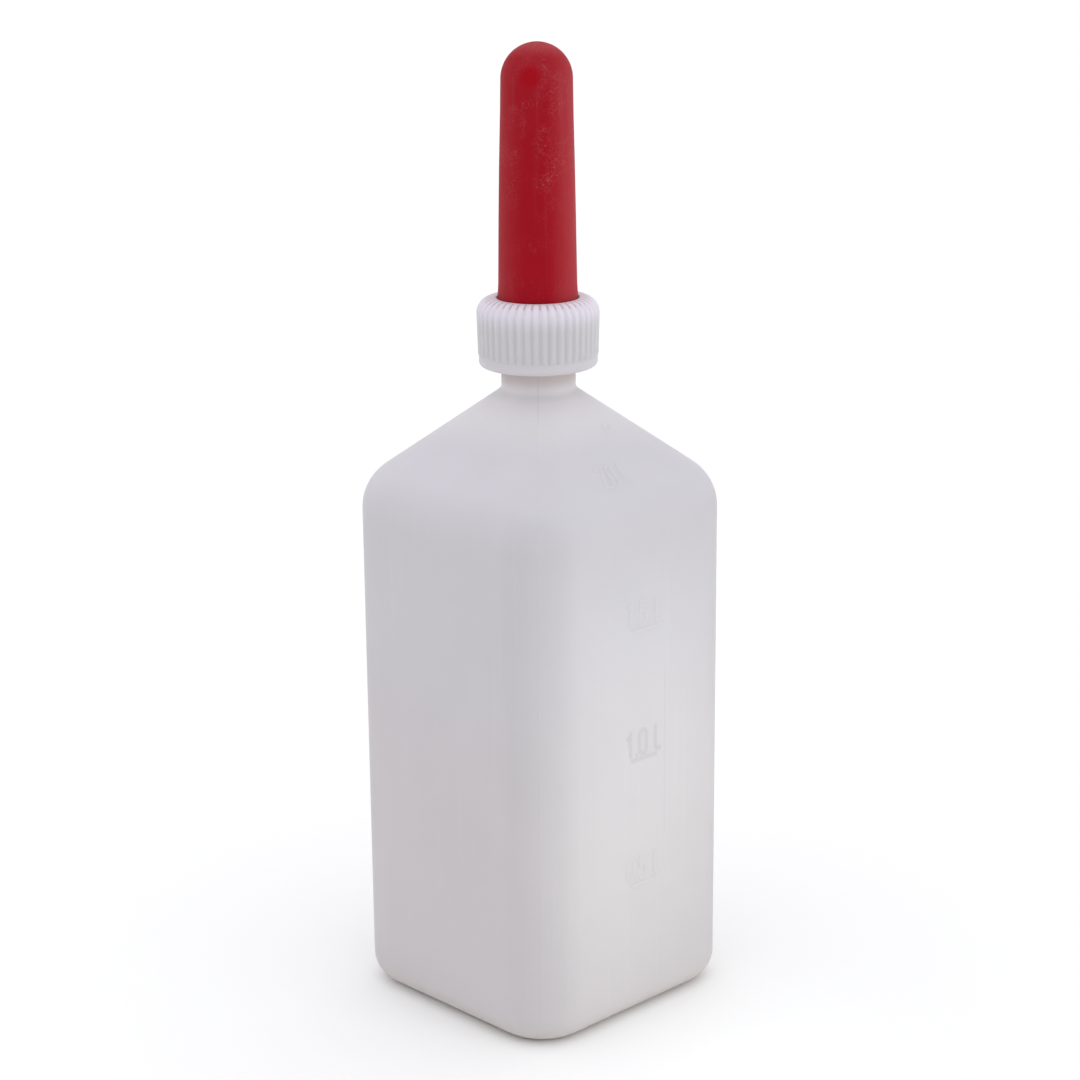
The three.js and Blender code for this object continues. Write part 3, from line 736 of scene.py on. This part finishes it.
def bottle_points():
    """Points of the whole shell, level by level, up the outside and down the inside."""
    outside = base_levels(6) + side_levels(36) + shoulder_levels(14) + neck_levels(8)
    levels = np.array(outside + inner_levels())
    z, half_side, corner = levels[:, 0:1], levels[:, 1:2], levels[:, 2:3]
    base_angle, offset, gap_share, in_seam = (column[None, :] for column in section_columns().T)
    seam_reach = np.maximum(reach(math.pi / 4, half_side, corner), SEAM_LEAST_REACH)
    angle = base_angle + offset / seam_reach + gap_share * (SEAM_GAP - SEAM_EDGE / seam_reach)
    distance = reach(angle, half_side, corner)
    flat_half = np.maximum(half_side - corner, 1e-6)
    across = np.minimum(np.abs(np.sin(angle)), np.abs(np.cos(angle))) * distance / flat_half
    distance = distance - bow_at(across, z)

    # The mould's seam stands out square to the wall, outside, and clear of the foot
    run = np.roll(levels, -1, axis=0)[:, 0:2] - np.roll(levels, 1, axis=0)[:, 0:2]
    run /= np.maximum(np.linalg.norm(run, axis=1, keepdims=True), 1e-9)
    is_outside = (np.arange(len(levels)) < len(outside))[:, None]
    inside_foot = half_side < HALF_SIDE - BASE_EDGE_RADIUS - FOOT_RING_WIDTH
    clear_of_foot = np.where(inside_foot, 1, smoothstep(z, 1.5 * MM, 6 * MM))
    ridge = SEAM_HEIGHT * in_seam * np.exp(-2 * (offset / SEAM_WIDTH) ** 2) * clear_of_foot * is_outside
    distance = distance + ridge * run[:, 0:1]
    height = z - ridge * run[:, 1:2] + 0 * angle
    return np.stack([distance * np.sin(angle), -distance * np.cos(angle), height], axis=-1)


def make_bottle(material):
    """The hollow bottle, with the thread on its finish."""
    points = bottle_points()
    rows, columns, _ = points.shape
    shell = make_object("bottle_shell", points.reshape(-1, 3), grid_faces(rows, columns, False))
    combine(shell, screw_thread("neck_thread", FINISH_RADIUS, THREAD_START_Z, 1), "UNION")
    smooth(shell)
    shell.data.materials.append(material)
    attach(shell, "bottle")
    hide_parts("bottle")


# -------------------------------------------------------------------------------------------
# Graduations
# -------------------------------------------------------------------------------------------


def figure_paths():
    """Middle lines of each figure's strokes, from the middle of its foot."""
    half, top = FIGURE_HALF_WIDTH, FIGURE_HEIGHT
    oval = arc(0, top - half, half, 0, 180, 10) + arc(0, half, half, 180, 360, 10)
    bowl = arc(-0.1 * half, 0.42 * top, half, 105, 0, 8) + arc(-0.1 * half, half, half, 0, -145, 8)
    hook = arc(0.7 * half, 0.7 * half, 0.7 * half, 180, 270, 5)
    return {
        "0": [oval + oval[:1]],
        "1": [[(-half, 0.8 * top), (0, top), (0, 0)]],
        "2": [arc(0, top - half, half, 165, -30, 8) + [(-half, 0), (half, 0)]],
        "5": [[(half, top), (-0.8 * half, top), (-0.9 * half, 0.56 * top)] + bowl],
        "l": [[(0, top)] + hook + [(1.4 * half, 0)]],
        ".": [[(0, 0.05 * half), (0, 0.1 * half)]],
    }


def label_paths(figures, width=1.0, shift=0.0):
    """Middle lines of a whole label, its figures side by side."""
    paths = []
    for place, figure in zip(FIGURE_PLACES, figures):
        for path in figure_paths()[figure]:
            paths.append(np.array(path) * (width, 1) + (place * width + shift, 0))
    return paths


def relief(paths):
    """Rounded raised strokes along the paths as one closed mesh: (across, up, out) points and faces."""
    corners = np.concatenate(paths)
    low, high = corners.min(axis=0) - 2 * STROKE_REACH, corners.max(axis=0) + 2 * STROKE_REACH
    axes = [np.arange(low[axis], high[axis], RELIEF_STEP) for axis in (0, 1)]
    grid = np.stack(np.meshgrid(*axes), axis=-1)
    distance = np.full(grid.shape[:2], np.inf)
    for path in paths:
        for start, end in zip(path[:-1], path[1:]):
            run = end - start
            share = np.clip((grid - start) @ run / max(run @ run, 1e-12), 0, 1)[..., None]
            distance = np.minimum(distance, np.linalg.norm(grid - start - share * run, axis=-1))
    out = STROKE_STAND * (1 - (distance / STROKE_HALF_WIDTH) ** 2)
    near = distance < STROKE_REACH
    whole = near[:-1, :-1] & near[:-1, 1:] & near[1:, 1:] & near[1:, :-1]
    row, column = np.nonzero(whole)
    width = grid.shape[1]
    front = np.stack([row, row, row + 1, row + 1], axis=-1) * width
    front += np.stack([column, column + 1, column + 1, column], axis=-1)
    used, front = np.unique(front, return_inverse=True)
    front = front.reshape(-1, 4)
    flat = grid.reshape(-1, 2)[used]
    points = np.concatenate(
        [
            np.column_stack([flat, out.reshape(-1)[used]]),
            np.column_stack([flat, np.full(len(used), -STROKE_BACK)]),
        ]
    )
    edges = {(face[side], face[(side + 1) % 4]) for face in front.tolist() for side in range(4)}
    rim = [(a, b) for a, b in edges if (b, a) not in edges]
    back = len(used)
    faces = front.tolist() + (front[:, ::-1] + back).tolist()
    faces += [[b, a, a + back, b + back] for a, b in sorted(rim)]
    return points, faces


def make_graduations(material):
    """The raised volume marks on the front face, one piece."""
    flat_half = HALF_SIDE - CORNER_RADIUS
    reliefs = []
    for figures, foot_z in GRADUATIONS:
        points, faces = relief(label_paths(figures) + [np.array(UNDERLINE)])
        x, z = points[:, 0], points[:, 1] + foot_z
        y = bow_at(x / flat_half, z) - HALF_SIDE - points[:, 2]
        reliefs.append((np.column_stack([x, y, z]), faces))

    slope = shoulder_levels(14)
    heights = [level[0] for level in slope]
    half_sides = [level[1] for level in slope]
    low, high = SHOULDER_GRADUATION_Z, SHOULDER_GRADUATION_Z + FIGURE_HEIGHT / 2
    foot, above = (Vector((0, -float(np.interp(z, heights, half_sides)), z)) for z in (low, high))
    up = (above - foot).normalized()
    turn = np.array([(1, 0, 0), up, Vector((1, 0, 0)).cross(up)])
    ring = np.array(arc(*MOULD_RING_PLACE, MOULD_RING_RADIUS, 0, 360, 24))
    label = label_paths(SHOULDER_GRADUATION, SHOULDER_GRADUATION_WIDTH, SHOULDER_GRADUATION_X)
    points, faces = relief(label + [ring])
    reliefs.append((points @ turn + np.array(foot), faces))

    all_points, all_faces = [], []
    count = 0
    for points, faces in reliefs:
        all_points.append(points)
        all_faces += [[corner + count for corner in face] for face in faces]
        count += len(points)
    marks = make_object("graduations", np.concatenate(all_points), all_faces, 60)
    marks.data.materials.append(material)
    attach(marks, "bottle")


# -------------------------------------------------------------------------------------------
# Screw cap
# -------------------------------------------------------------------------------------------


def cap_profile():
    """Closed profile: (radius, z, groove depth inwards, groove depth downwards)."""
    bottom, top = CAP_LOW.z, CAP_HIGH.z
    ribs_start = bottom + CAP_BAND_HEIGHT
    edge_radius, edge_z = CAP_RADIUS - CAP_EDGE_RADIUS, top - CAP_EDGE_RADIUS
    fine, foot = CAP_FINE_ROUNDING, CAP_FOOT_ROUNDING
    plain = arc(CAP_BORE_RADIUS + fine, bottom + fine, fine, 180, 270, 3)
    plain += arc(CAP_BAND_RADIUS - foot, bottom + foot, foot, -90, 0, 8)
    plain += [(CAP_BAND_RADIUS, ribs_start - 0.3 * MM), (CAP_BAND_RADIUS, ribs_start)]
    profile = [(radius, z, 0, 0) for radius, z in plain]
    for share in np.linspace(0, 1, 10):
        z = ribs_start + RIB_STEP + (edge_z - ribs_start - RIB_STEP) * share
        radius = CAP_FOOT_RADIUS + (CAP_RADIUS - CAP_FOOT_RADIUS) * share
        profile.append((radius, z, RIB_DEPTH, 0))
    for degrees in np.linspace(0, 90, 25)[1:]:
        outward, upward = math.cos(math.radians(degrees)), math.sin(math.radians(degrees))
        depth = RIB_DEPTH * (1 - float(smoothstep(degrees, *GROOVE_END)))
        radius, z = edge_radius + CAP_EDGE_RADIUS * outward, edge_z + CAP_EDGE_RADIUS * upward
        profile.append((radius, z, depth * outward, depth * upward))
    hole = arc(CAP_HOLE_RADIUS + fine, top - fine, fine, 90, 180, 4)
    inside = [(CAP_HOLE_RADIUS, top - CAP_PLATE), (CAP_BORE_RADIUS, top - CAP_PLATE)]
    profile += [(radius, z, 0, 0) for radius, z in hole + inside]
    return np.array(profile)


def make_cap(material):
    """The ribbed cap, with its thread inside."""
    columns_per_rib = 12
    profile = cap_profile()
    angle = np.linspace(0, 2 * math.pi, RIB_COUNT * columns_per_rib, endpoint=False)[None, :]
    groove = (0.5 + 0.5 * np.cos(RIB_COUNT * angle + RIB_PHASE)) ** 1.7
    radius = profile[:, 0:1] - profile[:, 2:3] * groove
    z = profile[:, 1:2] - profile[:, 3:4] * groove
    points = np.stack([radius * np.sin(angle), -radius * np.cos(angle), z + 0 * angle], axis=-1)
    faces = grid_faces(len(profile), angle.size, True)
    cap = make_object("ribbed_cap", points.reshape(-1, 3), faces)
    thread = screw_thread("cap_thread", CAP_BORE_RADIUS, THREAD_START_Z - THREAD_PITCH / 2, -1)
    combine(cap, thread, "UNION")
    smooth(cap)
    cap.data.materials.append(material)
    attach(cap, "screw_cap")
    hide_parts("screw_cap")


# -------------------------------------------------------------------------------------------
# Teat
# -------------------------------------------------------------------------------------------


def teat_profile():
    """From the bore's end down the bore, out round the flange, up the barrel and over the tip."""
    tip_z = TEAT_TOP_Z - TEAT_TIP_RADIUS
    bore_tip_radius = TEAT_TIP_RADIUS - TEAT_WALL
    bore_tip_z = TEAT_TOP_Z - TEAT_TIP_WALL - bore_tip_radius
    flange_bottom = TEAT_LOW.z
    flange_top = flange_bottom + FLANGE_THICKNESS
    rounding = FLANGE_THICKNESS * 0.3
    bore_foot = TEAT_BARREL_RADII[0] - TEAT_WALL - 0.4 * MM
    profile = arc(0, bore_tip_z, bore_tip_radius, 90, 0, 12)
    profile += [(bore_foot, flange_bottom)]
    profile += arc(FLANGE_RADIUS - rounding, flange_bottom + rounding, rounding, -90, 0, 4)
    profile += arc(FLANGE_RADIUS - rounding, flange_top - rounding, rounding, 0, 90, 4)
    heights = [CAP_HIGH.z + height for height in TEAT_BARREL_HEIGHTS] + [tip_z]
    radii = TEAT_BARREL_RADII + [TEAT_TIP_RADIUS]
    for z in np.linspace(heights[0], tip_z, 90)[:-1]:
        profile.append((float(np.interp(z, heights, radii)), z))
    profile += arc(0, tip_z, TEAT_TIP_RADIUS, 0, 90, 24)
    return profile


def make_teat(material):
    """The hollow teat with its cross slit, leaning a little to one side."""
    teat = revolve("rubber_teat", teat_profile(), 128, False)
    for size in ((SLIT_LENGTH, SLIT_WIDTH), (SLIT_WIDTH, SLIT_LENGTH)):
        centre = (0, 0, TEAT_TOP_Z - TEAT_TIP_WALL / 2)
        combine(teat, box_object("slit", (*size, 2 * TEAT_TIP_WALL), centre), "DIFFERENCE")
    for vertex in teat.data.vertices:
        share = max(vertex.co.z - CAP_HIGH.z, 0) / (TEAT_TOP_Z - CAP_HIGH.z)
        vertex.co += TEAT_LEAN_DIRECTION * TEAT_LEAN * share**2
    smooth(teat)
    teat.data.materials.append(material)
    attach(teat, "teat")
    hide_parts("teat")


# -------------------------------------------------------------------------------------------
# Non-return valve
# -------------------------------------------------------------------------------------------


def eased(corners, rounding=EDGE_ROUNDING, steps=3):
    """A closed profile with each corner replaced by a small arc."""
    profile = []
    for index, corner in enumerate(corners):
        here = Vector(corner)
        before = (Vector(corners[index - 1]) - here).normalized()
        after = (Vector(corners[(index + 1) % len(corners)]) - here).normalized()
        for share in np.linspace(0, 1, steps + 1):
            start, end = here + before * rounding, here + after * rounding
            toward_start, toward_end = start.lerp(here, share), here.lerp(end, share)
            profile.append(tuple(toward_start.lerp(toward_end, share)))
    return profile


def make_valve(plastic, ball_plastic, rubber):
    """The plate, the cage, the ball and the sealing ring."""
    seat, plate_radius = SEAT_HOLE_RADIUS, PLATE_HIGH.x
    plate = revolve(
        "seat_plate",
        eased(
            [
                (seat, PLATE_LOW.z),
                (plate_radius, PLATE_LOW.z),
                (plate_radius, PLATE_TOP_Z),
                (COLLAR_OUTER_RADIUS, PLATE_TOP_Z),
                (COLLAR_OUTER_RADIUS, PLATE_HIGH.z),
                (COLLAR_INNER_RADIUS, PLATE_HIGH.z),
                (COLLAR_INNER_RADIUS, PLATE_TOP_Z),
                (seat, PLATE_TOP_Z),
            ]
        ),
        96,
        True,
    )
    cage_radius, bore = CAGE_HIGH.x, CAGE_HIGH.x - CAGE_WALL
    ceiling = CAGE_HIGH.z - CAGE_TOP_THICKNESS
    cage = revolve(
        "ball_cage",
        eased(
            [
                (bore, CAGE_LOW.z),
                (cage_radius, CAGE_LOW.z),
                (cage_radius, CAGE_HIGH.z),
                (CAGE_TOP_HOLE_RADIUS, CAGE_HIGH.z),
                (CAGE_TOP_HOLE_RADIUS, ceiling),
                (bore, ceiling),
            ]
        ),
        96,
        True,
    )
    slot_bottom = CAGE_LOW.z + CAGE_FOOT_HEIGHT
    for size in ((3 * cage_radius, CAGE_SLOT_WIDTH), (CAGE_SLOT_WIDTH, 3 * cage_radius)):
        slot_size = (*size, ceiling - slot_bottom)
        combine(cage, box_object("slot", slot_size, (0, 0, (ceiling + slot_bottom) / 2)), "DIFFERENCE")
    smooth(cage)
    ball_radius = (BALL_HIGH.z - BALL_LOW.z) / 2
    ball_profile = arc(0, (BALL_HIGH.z + BALL_LOW.z) / 2, ball_radius, -90, 90, 32)
    ball = revolve("float_ball", ball_profile, 64, False)
    inner, outer = RING_INNER_RADIUS, RING_HIGH.x
    ring_corners = [(inner, RING_LOW.z), (outer, RING_LOW.z), (outer, RING_HIGH.z), (inner, RING_HIGH.z)]
    ring = revolve("rubber_washer", eased(ring_corners, 0.5 * MM), 96, True)
    rows = [
        (plate, plastic, "teat", "valve_plate", "valve_plastic"),
        (cage, plastic, "teat", "valve_cage", "valve_plastic"),
        (ball, ball_plastic, "valve_ball", "valve_ball", "ball_plastic"),
        (ring, rubber, "teat", "sealing_ring", "seal_rubber"),
    ]
    for piece, material, body, node, slot in rows:
        piece.data.materials.append(material)
        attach(piece, body)
        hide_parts(node)


# -------------------------------------------------------------------------------------------
# Floor, light and camera
# -------------------------------------------------------------------------------------------


def make_floor():
    """A wide round floor, whose edge is too far off to be seen."""
    radius = 30.0
    angles = np.linspace(0, 2 * math.pi, 64, endpoint=False)
    points = np.array([(radius * math.cos(a), radius * math.sin(a), 0) for a in angles])
    floor = make_object("floor", points, [list(range(len(points)))])
    floor.data.materials.append(floor_material())


def add_softbox(name, position, target, size, power, colour, spread_degrees):
    """A soft rectangular light that looks at a point."""
    light = bpy.data.lights.new(name, "AREA")
    light.shape = "RECTANGLE"
    light.size, light.size_y = size
    light.energy = power
    light.color = colour
    light.spread = math.radians(spread_degrees)
    lamp = bpy.data.objects.new(name, light)
    lamp.location = position
    lamp.rotation_euler = (Vector(target) - Vector(position)).to_track_quat("-Z", "Y").to_euler()
    lamp.visible_camera = False
    bpy.context.scene.collection.objects.link(lamp)


def make_light():
    """A pale sky that is brighter at the horizon, a very wide soft light above, and two soft boxes.

    One stands low before the front face. The other is small and lights the teat from the side.
    """
    world = bpy.data.worlds.new("studio")
    world.use_nodes = True
    nodes, links = world.node_tree.nodes, world.node_tree.links
    direction = nodes.new("ShaderNodeTexCoord").outputs["Generated"]
    split = nodes.new("ShaderNodeSeparateXYZ")
    links.new(direction, split.inputs[0])
    strength = nodes.new("ShaderNodeMapRange")
    strength.interpolation_type = "SMOOTHSTEP"
    links.new(split.outputs[2], strength.inputs["Value"])
    heights = {"From Min": HORIZON_TOP, "From Max": SKY_FOOT}
    strengths = {"To Min": HORIZON_STRENGTH, "To Max": SKY_STRENGTH}
    for socket, value in (heights | strengths).items():
        strength.inputs[socket].default_value = value
    background = nodes["Background"]
    background.inputs["Color"].default_value = SKY_COLOUR
    links.new(strength.outputs["Result"], background.inputs["Strength"])
    bpy.context.scene.world = world
    overhead = bpy.data.lights.new("overhead", "SUN")
    overhead.energy = OVERHEAD_STRENGTH
    overhead.angle = OVERHEAD_WIDTH
    bpy.context.scene.collection.objects.link(bpy.data.objects.new("overhead", overhead))
    place, target = (-0.003, -0.2, 0.092), (-0.003, -0.05, 0.092)
    add_softbox("front_box", place, target, (0.06, 0.16), 0.027, (0.92, 1.0, 0.92), 95)
    place, target = (0.2, -0.2, 0.32), (0, 0, 0.31)
    add_softbox("side_box", place, target, (0.06, 0.1), 0.006, (1, 1, 1), 30)


def make_camera():
    """The camera, placed round the object by its azimuth and turned by its pitch and roll."""
    camera = bpy.data.cameras.new("camera")
    camera.lens = CAMERA_LENS
    camera.sensor_width = 36
    camera.clip_end = 100
    holder = bpy.data.objects.new("camera", camera)
    sine, cosine = math.sin(CAMERA_AZIMUTH), math.cos(CAMERA_AZIMUTH)
    right = Vector((cosine, sine, 0))
    level = Vector((-sine, cosine, 0))
    forward = level * math.cos(CAMERA_PITCH) + Vector((0, 0, -math.sin(CAMERA_PITCH)))
    turn = Matrix([right, right.cross(forward), -forward]).transposed().to_4x4()
    place = Matrix.Translation((CAMERA_DISTANCE * sine, -CAMERA_DISTANCE * cosine, CAMERA_HEIGHT))
    holder.matrix_world = place @ turn @ Matrix.Rotation(CAMERA_ROLL, 4, "Z")
    bpy.context.scene.collection.objects.link(holder)
    bpy.context.scene.camera = holder


make_camera()
make_floor()
make_light()
bottle_plastic = bottle_material()
make_bottle(bottle_plastic)
make_graduations(marks_material())
make_cap(cap_material())
make_teat(teat_material())
make_valve(valve_material(), ball_material(), seal_material())

bpy.context.scene.view_settings.view_transform = "Standard"
